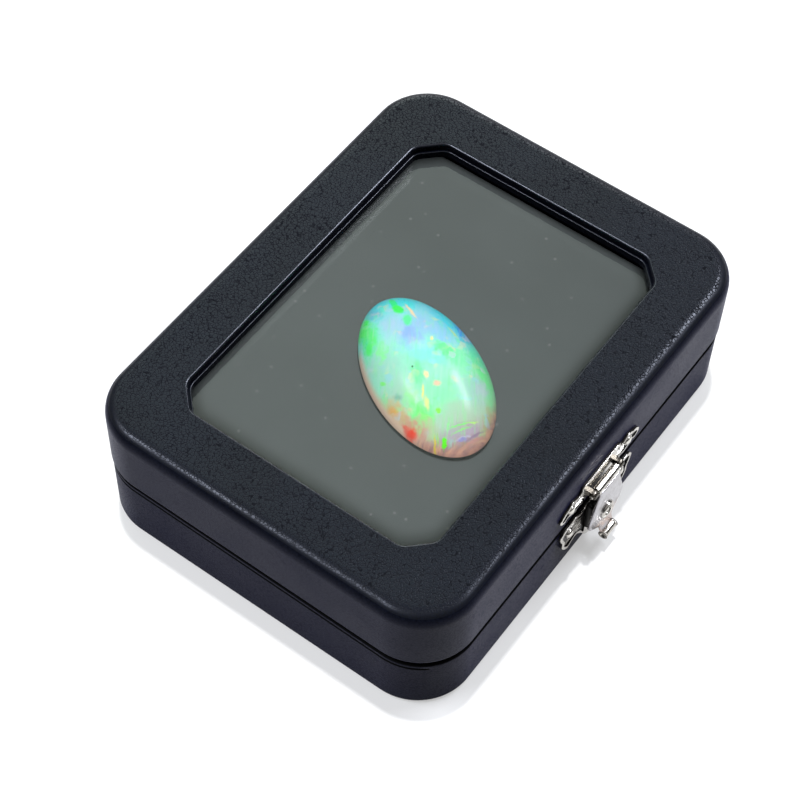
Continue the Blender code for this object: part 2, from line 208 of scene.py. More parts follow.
class Tree:
    # The nodes of a material or of the world, linked as they are added
    def __init__(self, owner, shader="Principled BSDF", place="Object"):
        owner.use_nodes = True
        self.owner = owner
        self.nodes = owner.node_tree.nodes
        self.links = owner.node_tree.links
        self.shader = self.nodes[shader]
        self.place = self.add("ShaderNodeTexCoord").outputs[place]

    def give(self, socket, value):
        # A link where the value comes out of a node, and otherwise the value itself
        if isinstance(value, bpy.types.NodeSocket):
            self.links.new(value, socket)
        else:
            socket.default_value = value

    def add(self, kind, inputs=None, **settings):
        node = self.nodes.new(kind)
        for key, value in settings.items():
            setattr(node, key, value)
        for key, value in (inputs or {}).items():
            self.give(node.inputs[key], value)
        return node

    def set(self, **values):
        for key, value in values.items():
            self.give(self.shader.inputs[key.replace("_", " ")], value)

    def move(self, place=(0, 0, 0), turn=0.0, size=(1, 1, 1), source=None):
        # Another place, size and turn, in degrees about the upright axis, for a pattern
        turned = (0, 0, radians(turn))
        inputs = {"Vector": source or self.place, "Location": place, "Rotation": turned, "Scale": size}
        return self.add("ShaderNodeMapping", inputs, vector_type="TEXTURE").outputs[0]

    def axes(self, vector=None):
        return self.add("ShaderNodeSeparateXYZ", {0: vector or self.place}).outputs

    def point(self, x, y, z=0.0):
        return self.add("ShaderNodeCombineXYZ", {0: x, 1: y, 2: z}).outputs[0]

    def vectors(self, kind, inputs, output="Vector"):
        return self.add("ShaderNodeVectorMath", inputs, operation=kind).outputs[output]

    def noise(self, scale, detail=2.0, rough=0.5, vector=None):
        inputs = {"Vector": vector or self.place, "Scale": scale, "Detail": detail, "Roughness": rough}
        return self.add("ShaderNodeTexNoise", inputs).outputs[0]

    def cells(self, scale, vector=None, **settings):
        inputs = {"Vector": vector or self.place, "Scale": scale}
        return self.add("ShaderNodeTexVoronoi", inputs, **settings).outputs

    def span(self, value, low, high, outLow=0.0, outHigh=1.0, smooth=False):
        inputs = {"Value": value, "From Min": low, "From Max": high, "To Min": outLow, "To Max": outHigh}
        kind = "SMOOTHSTEP" if smooth else "LINEAR"
        return self.add("ShaderNodeMapRange", inputs, interpolation_type=kind).outputs[0]

    def sums(self, kind, a, b):
        return self.add("ShaderNodeMath", {0: a, 1: b}, operation=kind).outputs[0]

    def plus(self, a, b):
        return self.sums("ADD", a, b)

    def times(self, a, b):
        return self.sums("MULTIPLY", a, b)

    def blend(self, share, low, high, kind="MIX"):
        low, high = ((*value, 1.0) if isinstance(value, tuple) else value for value in (low, high))
        inputs = {0: share, 6: low, 7: high}
        return self.add("ShaderNodeMix", inputs, data_type="RGBA", blend_type=kind).outputs[2]

    def ramp(self, value, stops):
        # Colours along a value, each at its place from 0 to 1
        node = self.add("ShaderNodeValToRGB", {0: value})
        elements = node.color_ramp.elements
        while len(elements) < len(stops):
            elements.new(0.5)
        for element, (at, colour) in zip(elements, stops):
            element.position = at
            element.color = (*colour, 1.0)
        return node.outputs[0]

    def relief(self, height, depth, strength=1.0, normal=None):
        inputs = {"Height": height, "Distance": depth, "Strength": strength}
        if normal is not None:
            inputs["Normal"] = normal
        return self.add("ShaderNodeBump", inputs).outputs[0]


def newTree(name):
    return Tree(bpy.data.materials.new(name))


leatherLook = {
    "dark": (0.0006, 0.0008, 0.0016),
    "light": (0.0024, 0.0030, 0.0056),
    "pebbles": 1750.0,  # per metre
    "warp": 0.0003,  # how far the pebbles' outlines are pushed about
    "pebbleDepth": {"top": 0.000016, "side": 0.000008, "base": 0.000010, "edge": 0.0000018,
                    "well": 0.000008},
    "wrinkleDepth": 0.00008,
    "stretched": (26.38 * mm, 26.58 * mm),  # the grain flattens below the lid's top, round its edge
    "leastGrain": 0.25, "stretchedDull": 0.09,
    "creases": {"top": 0.76, "side": 0.10, "base": 0.12, "edge": 0.0, "well": 0.1},  # how dull they are
    "gloss": {"top": 0.21, "side": 0.34, "base": 0.34, "edge": 0.30, "well": 0.2},  # roughness between them
    "shine": {"top": 0.20, "side": 0.041, "base": 0.023, "edge": 0.60, "well": 0.03},  # specular level
    "sheen": {"top": 0.006, "side": 0.057, "base": 0.054, "edge": 0.0, "well": 0.006},
}


def makeLeather(part):
    look = leatherLook
    tree = newTree("leatherette" + part.title())
    warp = tree.noise(1500.0)
    sideways = tree.noise(1300.0, vector=tree.move(place=(0.1, 0.2, 0.0)))
    push = tree.vectors("SCALE", {0: tree.point(warp, sideways, warp), "Scale": look["warp"]})
    spread = tree.vectors("ADD", {0: tree.place, 1: push})
    pebble = tree.cells(look["pebbles"], spread, feature="DISTANCE_TO_EDGE")["Distance"]
    valley = tree.span(pebble, 0.0, 0.15, smooth=True)
    fine = tree.noise(6200.0, 3.0, 0.6)
    height = tree.plus(valley, tree.times(fine, 0.15))
    dull = tree.span(pebble, 0.02, 0.14, look["creases"][part], 0.0)
    if part == "top":
        least = look["leastGrain"]
        flat = tree.span(tree.axes()[2], *look["stretched"], least, 1.0)
        height = tree.times(height, flat)
        dull = tree.plus(tree.times(dull, flat), tree.span(flat, least, 1.0, look["stretchedDull"], 0.0))
    broad = tree.relief(tree.noise(160.0), look["wrinkleDepth"], 0.6)
    grain = tree.relief(height, look["pebbleDepth"][part], 1.0, broad)
    patch = tree.span(tree.noise(45.0, 3.0), 0.35, 0.65, 0.8, 1.25)
    shade = tree.add("ShaderNodeCombineColor", {0: patch, 1: patch, 2: patch}).outputs[0]
    colour = tree.blend(1.0, tree.blend(valley, look["dark"], look["light"]), shade, "MULTIPLY")
    rough = tree.span(tree.plus(tree.times(fine, 0.5), tree.noise(70.0, 3.0)), 0.5, 1.0,
                      look["gloss"][part] - 0.05, look["gloss"][part] + 0.08)
    tree.set(Base_Color=colour, Roughness=tree.plus(rough, dull), Normal=grain,
             Specular_IOR_Level=look["shine"][part], Specular_Tint=(0.84, 0.88, 1.0, 1.0),
             Sheen_Weight=look["sheen"][part], Sheen_Roughness=0.45, Sheen_Tint=(0.32, 0.32, 1.0, 1.0))
    return tree.owner


def makeBoard():
    tree = newTree("blackBoard")
    fibre = tree.noise(2600.0, 4.0, 0.65)
    colour = tree.blend(tree.span(fibre, 0.3, 0.7), (0.0014, 0.0015, 0.0018), (0.0040, 0.0042, 0.0046))
    tree.set(Base_Color=colour, Roughness=tree.span(fibre, 0.3, 0.7, 0.7, 0.9),
             Normal=tree.relief(fibre, 0.00004, 0.6), Specular_IOR_Level=0.05)
    return tree.owner


# The stone's place and shape, which the painted contact shadow round it on the pad follows
stoneLook = {
    "turn": 61.8, "middle": (-0.36 * mm, -0.79 * mm, 14.0 * mm),
    "halfLength": 16.6 * mm, "halfWidth": 9.8 * mm, "dome": 7.2 * mm, "back": 1.3 * mm, "egg": 0.022,
}
foamLook = {
    "dark": (0.069, 0.0775, 0.080),
    "light": (0.0775, 0.087, 0.090),
    "speck": (0.135, 0.14, 0.145),
    "specks": 380.0,  # per metre
    # The hollow colour is painted contact shadow, near black, in a thin ring round the stone
    "hollow": (0.006, 0.006, 0.007),
    "hollowEdge": (0.990, 1.005),  # as a share of the way from the stone's middle to its outline
}


def makeFoam():
    look = foamLook
    tree = newTree("greyFoam")
    fine = tree.noise(2600.0, 3.0, 0.7)
    share = tree.plus(tree.times(fine, 0.2), tree.times(tree.noise(60.0, 3.0), 0.8))
    colour = tree.blend(tree.span(share, 0.35, 0.65), look["dark"], look["light"])
    grain = tree.cells(look["specks"], voronoi_dimensions="2D")
    chance = tree.add("ShaderNodeSeparateColor", {0: grain["Color"]}).outputs[0]
    dust = tree.times(tree.span(grain["Distance"], 0.07, 0.13, 1.0, 0.0), tree.span(chance, 0.88, 0.92))
    colour = tree.blend(dust, colour, look["speck"])
    # The stone sits a little into the pad; round it the colour is painted near black, a thin ring of painted
    # contact shadow
    hollow = tree.move((*stoneLook["middle"][:2], 0.0), stoneLook["turn"],
                       (stoneLook["halfLength"], stoneLook["halfWidth"], 1.0))
    reach = tree.vectors("LENGTH", {0: hollow}, "Value")
    colour = tree.blend(tree.span(reach, *look["hollowEdge"], 1.0, 0.0), colour, look["hollow"])
    tree.set(Base_Color=colour, Roughness=0.92, Specular_IOR_Level=0.12,
             Normal=tree.relief(fine, 0.000003, 0.5))
    return tree.owner


def makeGlass():
    tree = newTree("clearGlass")
    tree.set(Base_Color=(0.975, 0.992, 0.985, 1.0), Transmission_Weight=1.0, Roughness=0.0, IOR=1.39,
             Normal=tree.relief(tree.noise(12.0, 1.0), 0.00002, 0.2))
    return tree.owner


nickelLooks = {
    # Each low colour is a painted warm reflection of the floor, low down on the clasp
    "nickelPlate": {"bright": (0.62, 0.60, 0.56), "dull": (0.34, 0.31, 0.28), "low": (0.50, 0.47, 0.43)},
    "nickelFlap": {"bright": (0.42, 0.41, 0.43), "dull": (0.27, 0.255, 0.26), "low": (0.56, 0.43, 0.37)},
    "nickelWorn": {"bright": (0.11, 0.10, 0.085), "dull": (0.05, 0.045, 0.04), "low": (0.30, 0.28, 0.25)},
}
warmReflectionHeights = (7.8 * mm, 6.2 * mm)  # the heights where the painted warm reflection begins and is full


def makeNickel(name):
    look = nickelLooks[name]
    tree = newTree(name)
    tarnish = tree.noise(620.0, 4.0, 0.6)
    fine = tree.noise(4200.0, 3.0, 0.6)
    colour = tree.blend(tree.span(tarnish, 0.45, 0.68), look["bright"], look["dull"])
    # A painted warm reflection of the floor low down on the clasp, in patches
    warmReflection = tree.times(tree.span(tree.axes()[2], *warmReflectionHeights), tree.span(tarnish, 0.35, 0.55))
    tree.set(Base_Color=tree.blend(warmReflection, colour, look["low"]), Metallic=1.0,
             Roughness=tree.span(fine, 0.3, 0.7, 0.14, 0.30), Normal=tree.relief(fine, 0.00001, 0.4))
    return tree.owner


# Near-black nickel, painted where the clasp has shade or mirrors the dark box
shadeNickelLooks = {
    "nickelSunk": {"dark": (0.004, 0.004, 0.004), "light": (0.018, 0.016, 0.015)},
    "nickelEdge": {"dark": (0.012, 0.011, 0.011), "light": (0.030, 0.027, 0.025)},
}


def makeShadedNickel(name):
    # The sunk fields, cut edges and hollows of the clasp are painted near black: painted shade in the gaps
    # and a painted dark reflection of the box in the fields
    look = shadeNickelLooks[name]
    tree = newTree(name)
    tarnish = tree.noise(900.0, 4.0, 0.6)
    tree.set(Base_Color=tree.blend(tree.span(tarnish, 0.35, 0.7), look["dark"], look["light"]),
             Metallic=0.6, Specular_IOR_Level=0.3, Roughness=tree.span(tarnish, 0.3, 0.7, 0.28, 0.5),
             Normal=tree.relief(tarnish, 0.00002, 0.5))
    return tree.owner


# Opal: where things are is in millimetres from the stone's middle, along it towards the far end and
# across it towards the left; colours are as seen on a screen
opalLook = {
    "light": 1.65,
    "along": [(-16.5, (178, 140, 120)), (-14.5, (182, 164, 156)), (-12.0, (176, 204, 182)),
              (-8.5, (160, 236, 192)), (-4.0, (160, 240, 204)), (0.0, (150, 252, 210)),
              (4.5, (162, 238, 224)), (9.0, (140, 238, 234)), (12.5, (96, 234, 240)),
              (16.5, (40, 226, 242))],
    # Middle, half sizes, turn, softness of the edge, share, colour
    "clouds": [
        ((1.1, 6.6), (4.4, 2.6), 25, 0.9, 0.75, (160, 214, 196)),
        ((-3.9, 6.6), (2.6, 1.8), 10, 0.9, 0.6, (176, 206, 190)),
        ((8.1, -7.0), (6.6, 2.2), 2, 0.6, 1.0, (16, 226, 248)),
        ((13.1, -3.4), (3.2, 2.0), -50, 0.7, 0.8, (30, 232, 244)),
        ((2.9, -8.3), (3.2, 1.4), -14, 0.6, 1.0, (40, 168, 255)),
        ((-2.1, -8.2), (3.0, 1.3), -10, 0.7, 0.9, (60, 222, 226)),
        ((10.1, -4.6), (3.4, 1.3), 0, 0.8, 0.5, (136, 214, 248)),
        ((3.3, -3.9), (3.0, 1.9), 0, 0.8, 0.85, (146, 204, 252)),
        ((4.8, 0.6), (3.0, 1.7), -20, 0.8, 0.9, (146, 178, 250)),
        ((2.1, 0.5), (1.7, 1.0), 30, 0.7, 0.8, (196, 206, 226)),
        ((6.6, -2.2), (2.6, 1.2), -10, 0.9, 0.7, (152, 192, 248)),
        ((8.3, 2.4), (2.4, 1.5), -20, 0.9, 0.8, (180, 206, 242)),
        ((12.7, 3.4), (1.4, 1.0), 0, 0.8, 0.8, (96, 190, 226)),
        ((9.1, 6.9), (3.4, 0.9), -12, 0.7, 0.9, (60, 232, 186)),
        ((11.1, 6.0), (2.4, 1.2), -16, 0.85, 1.0, (64, 255, 96)),
        ((7.7, 6.3), (2.4, 1.0), -26, 0.85, 1.0, (84, 255, 116)),
        ((4.4, 6.0), (1.7, 0.6), -25, 0.6, 0.7, (128, 255, 138)),
        ((0.0, -0.5), (3.0, 1.7), 50, 0.8, 0.75, (134, 255, 238)),
        ((-0.2, -2.9), (1.9, 1.2), 28, 0.45, 0.9, (110, 255, 150)),
        ((-2.8, 3.0), (2.2, 0.9), -25, 0.7, 0.8, (118, 255, 166)),
        ((-2.9, -4.0), (2.2, 1.6), 0, 0.9, 0.7, (124, 250, 176)),
        ((-6.1, -7.2), (5.0, 1.6), -8, 0.9, 0.9, (104, 238, 140)),
        ((-8.7, -3.8), (2.6, 1.8), -40, 0.9, 0.8, (158, 208, 196)),
        ((-8.5, -5.6), (1.6, 0.9), -28, 0.8, 0.6, (186, 190, 214)),
        ((-8.9, 5.0), (2.2, 1.4), 30, 0.6, 0.95, (104, 255, 116)),
        ((-5.7, 5.6), (1.6, 0.9), 0, 0.8, 0.6, (146, 250, 132)),
        ((-7.9, 1.2), (2.4, 2.0), 60, 0.9, 0.6, (134, 240, 180)),
        ((-11.7, 0.4), (1.8, 3.4), 0, 0.9, 0.7, (172, 208, 178)),
        ((-14.5, 0.2), (1.0, 3.2), -10, 0.8, 0.7, (176, 160, 190)),
        ((-13.9, -4.4), (2.6, 0.8), -40, 0.9, 0.8, (184, 164, 116)),
        ((-10.9, 5.8), (1.8, 1.3), 20, 0.9, 0.6, (214, 168, 152)),
        ((-5.7, 8.4), (2.6, 1.0), 18, 0.8, 0.9, (224, 184, 124)),
        ((-9.7, 7.3), (2.5, 0.9), 26, 0.7, 0.8, (222, 136, 112)),
    ],
    "flecks": [
        ((13.4, -0.3), (1.5, 0.5), -8, 0.35, 1.0, (30, 252, 150)),
        ((11.1, -0.1), (1.3, 0.8), 6, 0.3, 1.0, (50, 255, 96)),
        ((7.8, -0.2), (1.3, 0.7), -25, 0.4, 0.9, (80, 255, 150)),
        ((9.6, -1.75), (1.9, 0.26), 0, 0.5, 1.0, (255, 224, 180)),
        ((12.2, 5.2), (0.8, 0.4), -20, 0.5, 0.8, (40, 255, 70)),
        ((6.5, 7.4), (1.0, 0.4), -14, 0.5, 0.9, (70, 250, 110)),
        ((2.4, -2.0), (0.5, 0.26), -29, 0.5, 1.0, (244, 250, 170)),
        ((2.9, -6.2), (1.3, 0.2), 10, 0.6, 0.8, (206, 240, 120)),
        ((-3.6, 2.0), (0.7, 0.4), -9, 0.5, 0.95, (255, 226, 176)),
        ((-5.8, 1.1), (0.6, 0.45), 65, 0.6, 0.9, (246, 200, 172)),
        ((-6.0, 3.7), (1.1, 0.18), -25, 0.6, 0.95, (250, 240, 130)),
        ((-7.9, 3.9), (1.0, 0.3), -14, 0.6, 0.8, (236, 250, 140)),
        ((-6.1, -1.9), (0.7, 0.4), 20, 0.7, 0.7, (206, 206, 186)),
        ((-9.9, 2.8), (0.42, 0.4), 50, 0.4, 0.9, (140, 250, 60)),
        ((-13.2, 0.6), (1.9, 0.11), 85, 0.6, 0.9, (124, 246, 116)),
        ((-13.9, 0.6), (1.7, 0.10), 89, 0.6, 0.85, (136, 240, 120)),
        ((-12.8, 2.5), (1.4, 0.11), -31, 0.6, 0.8, (140, 240, 150)),
        ((-13.5, -1.6), (0.9, 0.10), 80, 0.6, 0.8, (190, 250, 110)),
        ((-14.9, 0.8), (1.4, 0.11), 82, 0.6, 0.8, (196, 196, 220)),
        ((-15.1, 1.0), (0.7, 0.2), 78, 0.6, 0.9, (146, 146, 206)),
        ((-15.7, -0.8), (2.2, 0.14), -84, 0.6, 0.8, (206, 150, 140)),
        ((-15.2, -1.0), (1.9, 0.12), -80, 0.6, 0.8, (146, 120, 150)),
        ((-15.9, 2.6), (1.6, 0.12), 66, 0.6, 0.7, (214, 160, 146)),
        ((-14.2, 3.8), (0.62, 0.42), -23, 0.3, 1.0, (96, 248, 10)),
        ((-13.5, 5.1), (0.9, 0.17), -22, 0.5, 0.9, (230, 206, 60)),
        ((-13.4, 4.5), (0.8, 0.10), -22, 0.5, 0.7, (160, 226, 70)),
        ((-9.9, 7.6), (1.1, 0.42), 27, 0.6, 1.0, (255, 70, 44)),
        ((-8.7, 8.0), (0.6, 0.2), 20, 0.6, 0.9, (240, 110, 90)),
        ((-5.4, 8.6), (1.0, 0.3), 21, 0.7, 0.8, (240, 176, 90)),
        ((-0.6, 8.2), (0.5, 0.2), 22, 0.5, 0.8, (120, 250, 90)),
        ((-4.3, 7.3), (0.7, 0.35), 34, 0.7, 0.6, (96, 176, 160)),
        ((-1.25, 3.3), (0.14, 0.12), 0, 0.5, 0.9, (30, 60, 56)),
    ],
    # Least chance, colour
    "grains": [(0.72, (120, 255, 150)), (0.80, (255, 222, 180)), (0.78, (150, 214, 255))],
    "rimLeft": (214, 184, 162), "rimLow": (200, 150, 126), "rimStreak": (150, 112, 112),
}


def seen(colour, light=1.0):
    # From a colour as seen on a screen to a surface colour under that much light
    return tuple(min(0.96, (((value / 255 + 0.055) / 1.055) ** 2.4) / light) for value in colour)


def makeOpal():
    look = opalLook
    tree = newTree("opalMilk")
    local = tree.move(stoneLook["middle"], stoneLook["turn"], (mm, mm, mm))
    along, across, high = tree.axes(local)

    def wobble(amount, scale, seed):
        shifted = tree.move(place=(seed, 0.3 * seed, 0.0), source=local)
        return tree.span(tree.noise(scale, 5.0, 0.62, shifted), 0.0, 1.0, -amount, amount)

    def shaken(amount, scale):
        return tree.point(tree.plus(along, wobble(amount, scale, 11.0)),
                          tree.plus(across, wobble(amount, scale, 37.0)))

    def tint(colour, share, tone, light=look["light"]):
        return tree.blend(share, colour, seen(tone, light))

    def spot(colour, source, middle, half, turn, soft, share, tone):
        place = tree.move((*middle, 0.0), turn, (*half, 1.0), source)
        reach = tree.vectors("LENGTH", {0: place}, "Value")
        return tint(colour, tree.span(reach, 1.0 - soft, 1.0 + soft, share, 0.0, True), tone)

    loose, firm = shaken(1.9, 0.7), shaken(0.4, 1.8)
    end = look["along"][-1][0]
    colour = tree.ramp(tree.span(tree.plus(along, wobble(2.6, 0.22, 5.0)), -end, end),
                       [((at + end) / (2 * end), seen(tone, look["light"])) for at, tone in look["along"]])
    for row in look["clouds"]:
        colour = spot(colour, loose, *row)
    # Faint stripes across, as layers in the stone, and small grains of colour
    layers = tree.noise(1.0, vector=tree.move(turn=-28, size=(4.0, 0.42, 3.0), source=local))
    colour = tint(colour, tree.span(layers, 0.52, 0.72, 0.0, 0.28), (120, 255, 140))
    colour = tint(colour, tree.span(layers, 0.28, 0.44, 0.22, 0.0), (206, 226, 226))
    hue = tree.add("ShaderNodeSeparateColor", {0: tree.cells(0.9, firm)["Color"]})
    patch = tree.span(tree.noise(0.3, vector=local), 0.48, 0.62)
    for channel, (low, tone) in enumerate(look["grains"]):
        share = tree.span(hue.outputs[channel], low, low + 0.04, 0.0, 0.34)
        colour = tint(colour, tree.times(share, patch), tone)
    # Warm rim where light comes through the edge: all round the near end and along the left
    left = tree.times(tree.span(high, 2.9, 0.9, smooth=True), tree.span(across, 4.0, 8.0, smooth=True))
    left = tree.times(left, tree.span(along, 9.0, 6.5))
    colour = tint(colour, left, look["rimLeft"], 1.3)
    near = tree.times(tree.span(high, 3.0, 0.9, smooth=True), tree.span(along, -9.0, -13.0, smooth=True))
    streaked = tree.move(turn=8, size=(0.5, 3.0, 3.0), source=local)
    streak = tree.span(tree.noise(1.0, 3.0, vector=streaked), 0.38, 0.62)
    low = tree.blend(streak, seen(look["rimLow"], 1.25), seen(look["rimStreak"], 1.25))
    colour = tree.blend(near, colour, low)
    for row in look["flecks"]:
        colour = spot(colour, firm, *row)
    # The back, down on the pad, is painted near black as shade
    colour = tree.blend(tree.span(high, -0.15, -0.5), colour, (0.006, 0.006, 0.006))
    tree.set(Base_Color=colour, Roughness=0.2, IOR=1.45, Specular_IOR_Level=0.4, Subsurface_Weight=0.1,
             Subsurface_Scale=0.0006, Subsurface_Radius=(1.0, 1.0, 1.0),
             Normal=tree.relief(tree.noise(300.0), 0.00002, 0.3))
    return tree.owner


leatherTop = makeLeather("top")
leatherSide = makeLeather("side")
leatherBase = makeLeather("base")
leatherEdge = makeLeather("edge")  # rubbed shiny along the window
leatherWell = makeLeather("well")
board = makeBoard()
foam = makeFoam()
glass = makeGlass()
nickel = makeNickel("nickelPlate")
nickelFlap = makeNickel("nickelFlap")
nickelWorn = makeNickel("nickelWorn")
# Near-black nickel for painted shade and painted dark reflection on the clasp
nickelShade = makeShadedNickel("nickelSunk")
nickelEdge = makeShadedNickel("nickelEdge")
opalMilk = makeOpal()
print("materials made")


# Lid: board wrapped in leatherette, with the window

lidBox = {
    "length": 90.0 * mm, "width": 69.0 * mm, "low": 13.7 * mm, "high": 26.6 * mm,
    "innerLow": 13.105 * mm,  # the inner edge closes the seam
    "frontDrop": 0.6 * mm, "outerPart": 2.6 * mm,  # how far the seam drops at the front, and how deep in
    "corner": 10.1 * mm, "cornerSteps": 22,
    "topEdge": 2.7 * mm, "topSteps": 12, "topShape": 0.57,
    "seamEdge": 0.5 * mm,
    "wall": 3.0 * mm, "board": 2.7 * mm,
    "window": (68.3 * mm, 47.8 * mm), "chamfer": 3.9 * mm, "chamferEase": 0.9 * mm,
    "lip": 0.45 * mm, "lipSteps": 6, "ledge": 0.3 * mm, "ledgeDown": 1.35 * mm, "ledgeEase": 0.12 * mm,
    "wellDown": 1.3 * mm,
}


def seamReach(spot):
    # How far out a point lies, the round corners counted in
    x = abs(spot.x) - lidBox["length"] / 2 + lidBox["corner"]
    y = abs(spot.y) - lidBox["width"] / 2 + lidBox["corner"]
    return (hypot(x, y) if min(x, y) > 0 else max(x, y)) - lidBox["corner"]


def dropFront(piece, low, high, drop):
    # The seam comes down towards the front: the outer part between the two heights is lowered there
    for v in piece.data.vertices:
        if low < v.co.z < high and seamReach(v.co) > -lidBox["outerPart"]:
            v.co.z -= drop * (0.5 - v.co.y / lidBox["width"]) ** 3


def makeLid():
    look = lidBox
    tall, high, window = look["high"] - look["low"], look["high"], look["window"]
    lid = addBlock("lidLeather", (look["length"], look["width"], tall), look["low"])
    bevelEdges(lid, isUpright, look["corner"], look["cornerSteps"])
    bevelEdges(lid, lambda e: isAt(e, high), look["topEdge"], look["topSteps"], look["topShape"])
    bevelEdges(lid, lambda e: isAt(e, look["low"]), look["seamEdge"], 3)
    inside = (look["length"] - 2 * look["wall"], look["width"] - 2 * look["wall"])
    below = 5 * mm  # the cutter starts this far under the lid
    hollow = addBlock("lidHollow", (*inside, tall - look["board"] + below), look["low"] - below)
    bevelEdges(hollow, isUpright, look["corner"] - look["wall"], 10)
    cutWith(lid, hollow)
    # The window is a little wider above a narrow ledge, where the covering is glued down
    for wider, low in ((0.0, high - 6 * mm), (look["ledge"], high - look["ledgeDown"])):
        cutter = addBlock("lidWindow", (window[0] + 2 * wider, window[1] + 2 * wider, 12 * mm), low)
        bevelEdges(cutter, isUpright, look["chamfer"], 1)
        bevelEdges(cutter, isUpright, look["chamferEase"], 4)
        cutWith(lid, cutter)
    tidyMesh(lid)

    def isLip(edge):
        if not isAt(edge, high) or len(edge.link_faces) != 2:
            return False
        slopes = sorted(abs(face.normal.z) for face in edge.link_faces)
        return slopes[0] < 0.1 and slopes[1] > 0.9

    def isLedge(edge):
        return isAt(edge, high - look["ledgeDown"]) and edge.is_convex and not edge.is_boundary

    bevelEdges(lid, isLip, look["lip"], look["lipSteps"])
    bevelEdges(lid, isLedge, look["ledgeEase"], 3)
    shadeSoft(lid)
    # Leatherette over all, bare board inside, duller sides, the window's well and its rubbed edge
    paint(lid, leatherTop, board, leatherSide, leatherWell, leatherEdge)
    paintWhere(lid, board, lambda f: f.normal.z < 0.5 and f.center.z < high - look["board"] + slack
               and isOver(f, inside, slack / 2) and not isOver(f, window, slack))
    paintWhere(lid, leatherSide, lambda f: f.material_index == 0 and f.normal.z < 0.72
               and not isOver(f, window, 5 * mm))
    paintWhere(lid, leatherWell, lambda f: f.material_index == 0
               and (f.normal.z < 0.4 or f.center.z < high - look["wellDown"]))
    paintWhere(lid, leatherEdge, lambda f: f.material_index in (0, 3) and 0.2 < f.normal.z < 0.97
               and isOver(f, window, 1 * mm))
    # The lid's lower edge is painted black as the shadow in the seam
    paintWhere(lid, board, lambda f: f.center.z < look["low"] + 0.4 * mm and f.normal.z < -0.35)
    dropFront(lid, look["low"] - 1 * mm, look["low"] + 0.6 * mm, look["frontDrop"])
    for v in lid.data.vertices:
        if abs(v.co.z - look["low"]) < 0.1 * mm and seamReach(v.co) < -look["outerPart"]:
            v.co.z = look["innerLow"]
    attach(lid, "lid")
    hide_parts("lid_frame")


makeLid()
print("lid made")


# Base: open tray in the same leatherette, its rim a thin rolled edge

trayBox = {
    "length": 89.7 * mm, "width": 68.7 * mm, "high": 13.1 * mm, "frontDrop": 1.3 * mm,
    "corner": 9.95 * mm, "cornerSteps": 22,
    "bottomEdge": 0.9 * mm, "rimEdge": 0.15 * mm,
    "wall": 2.85 * mm, "floor": 2.0 * mm,
    "groove": 12.25 * mm, "grooveHalf": 0.3 * mm, "grooveDepth": 0.4 * mm,
}


def makeTray():
    look = trayBox
    groove, half = look["groove"], look["grooveHalf"]
    tray = addBlock("trayLeather", (look["length"], look["width"], look["high"]), 0.0)
    bevelEdges(tray, isUpright, look["corner"], look["cornerSteps"])
    # A shallow groove under the rim, where the covering is turned over the edge
    for z in (groove - half, groove, groove + half):
        editPiece(tray, "FACE")
        bpy.ops.mesh.select_all(action="SELECT")
        bpy.ops.mesh.bisect(plane_co=(0, 0, z), plane_no=(0, 0, 1))
        leaveEdit()
    # It fades out at the front corners: the front has a single line
    grooveEnd = 0.3 * look["corner"] - look["width"] / 2
    editPiece(tray, "VERT")
    pick(tray, lambda v: abs(v.co.z - groove) < hair and v.co.y > grooveEnd)
    bpy.ops.transform.shrink_fatten(value=-look["grooveDepth"])
    leaveEdit()
    bevelEdges(tray, lambda e: isAt(e, 0.0), look["bottomEdge"], 4)
    bevelEdges(tray, lambda e: isAt(e, look["high"]), look["rimEdge"], 4)
    inside = (look["length"] - 2 * look["wall"], look["width"] - 2 * look["wall"])
    hollow = addBlock("trayHollow", (*inside, look["high"]), look["floor"])
    bevelEdges(hollow, isUpright, look["corner"] - look["wall"], 10)
    cutWith(tray, hollow)
    tidyMesh(tray)
    shadeSoft(tray, 42)
    # Bare black board inside; the black board on the rim and in the groove is painted shade, the dark of the
    # seam
    paint(tray, leatherBase, board)
    paintWhere(tray, board, lambda f: look["floor"] - slack < f.center.z < look["high"] - slack / 2
               and isOver(f, inside, slack))
    # Rim and groove: black board as painted shade along the seam
    paintWhere(tray, board, lambda f: f.center.z > look["high"] - 0.2 * mm and f.normal.z > 0.35)
    paintWhere(tray, board, lambda f: abs(f.center.z - groove) < half and abs(f.normal.z) > 0.3)
    dropFront(tray, groove - half - 0.1 * mm, look["high"] + 1 * mm, look["frontDrop"])
    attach(tray, "base")
    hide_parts("base_tray")


makeTray()
print("tray made")


# Foam pad: a soft slab with rounded upper edges that fills the tray

padLook = {
    "length": 83.4 * mm, "width": 62.4 * mm, "low": 2.3 * mm, "high": 12.8 * mm,
    "corner": 6.8 * mm, "edge": 0.9 * mm,
}


def makePad():
    look = padLook
    pad = addBlock("padFoam", (look["length"], look["width"], look["high"] - look["low"]), look["low"])
    bevelEdges(pad, isUpright, look["corner"], 10)
    bevelEdges(pad, lambda e: isAt(e, look["high"]), look["edge"], 5)
    shadeSoft(pad)
    paint(pad, foam)
    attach(pad, "base")
    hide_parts("foam_pad")


makePad()
print("pad made")


# Opal: egg-shaped oval cabochon with a high dome

def makeStone():
    look = stoneLook
    deselectAll()
    bpy.ops.mesh.primitive_uv_sphere_add(segments=160, ring_count=96, radius=1.0)
    stone = startPiece("opalStone")
    for v in stone.data.vertices:
        v.co.y *= look["halfWidth"] * (1.0 - look["egg"] * v.co.x)
        v.co.x *= look["halfLength"]
        v.co.z *= look["dome"] if v.co.z > 0 else look["back"]
    settle(stone, look["middle"], (0, 0, radians(look["turn"])))
    bpy.ops.object.shade_smooth()
    paint(stone, opalMilk)
    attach(stone, "base")
    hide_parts("opal")


makeStone()
print("opal made")


# Clasp: two scalloped plates with sunk fields, ribs and nails, and the swinging flap with its collar and curl

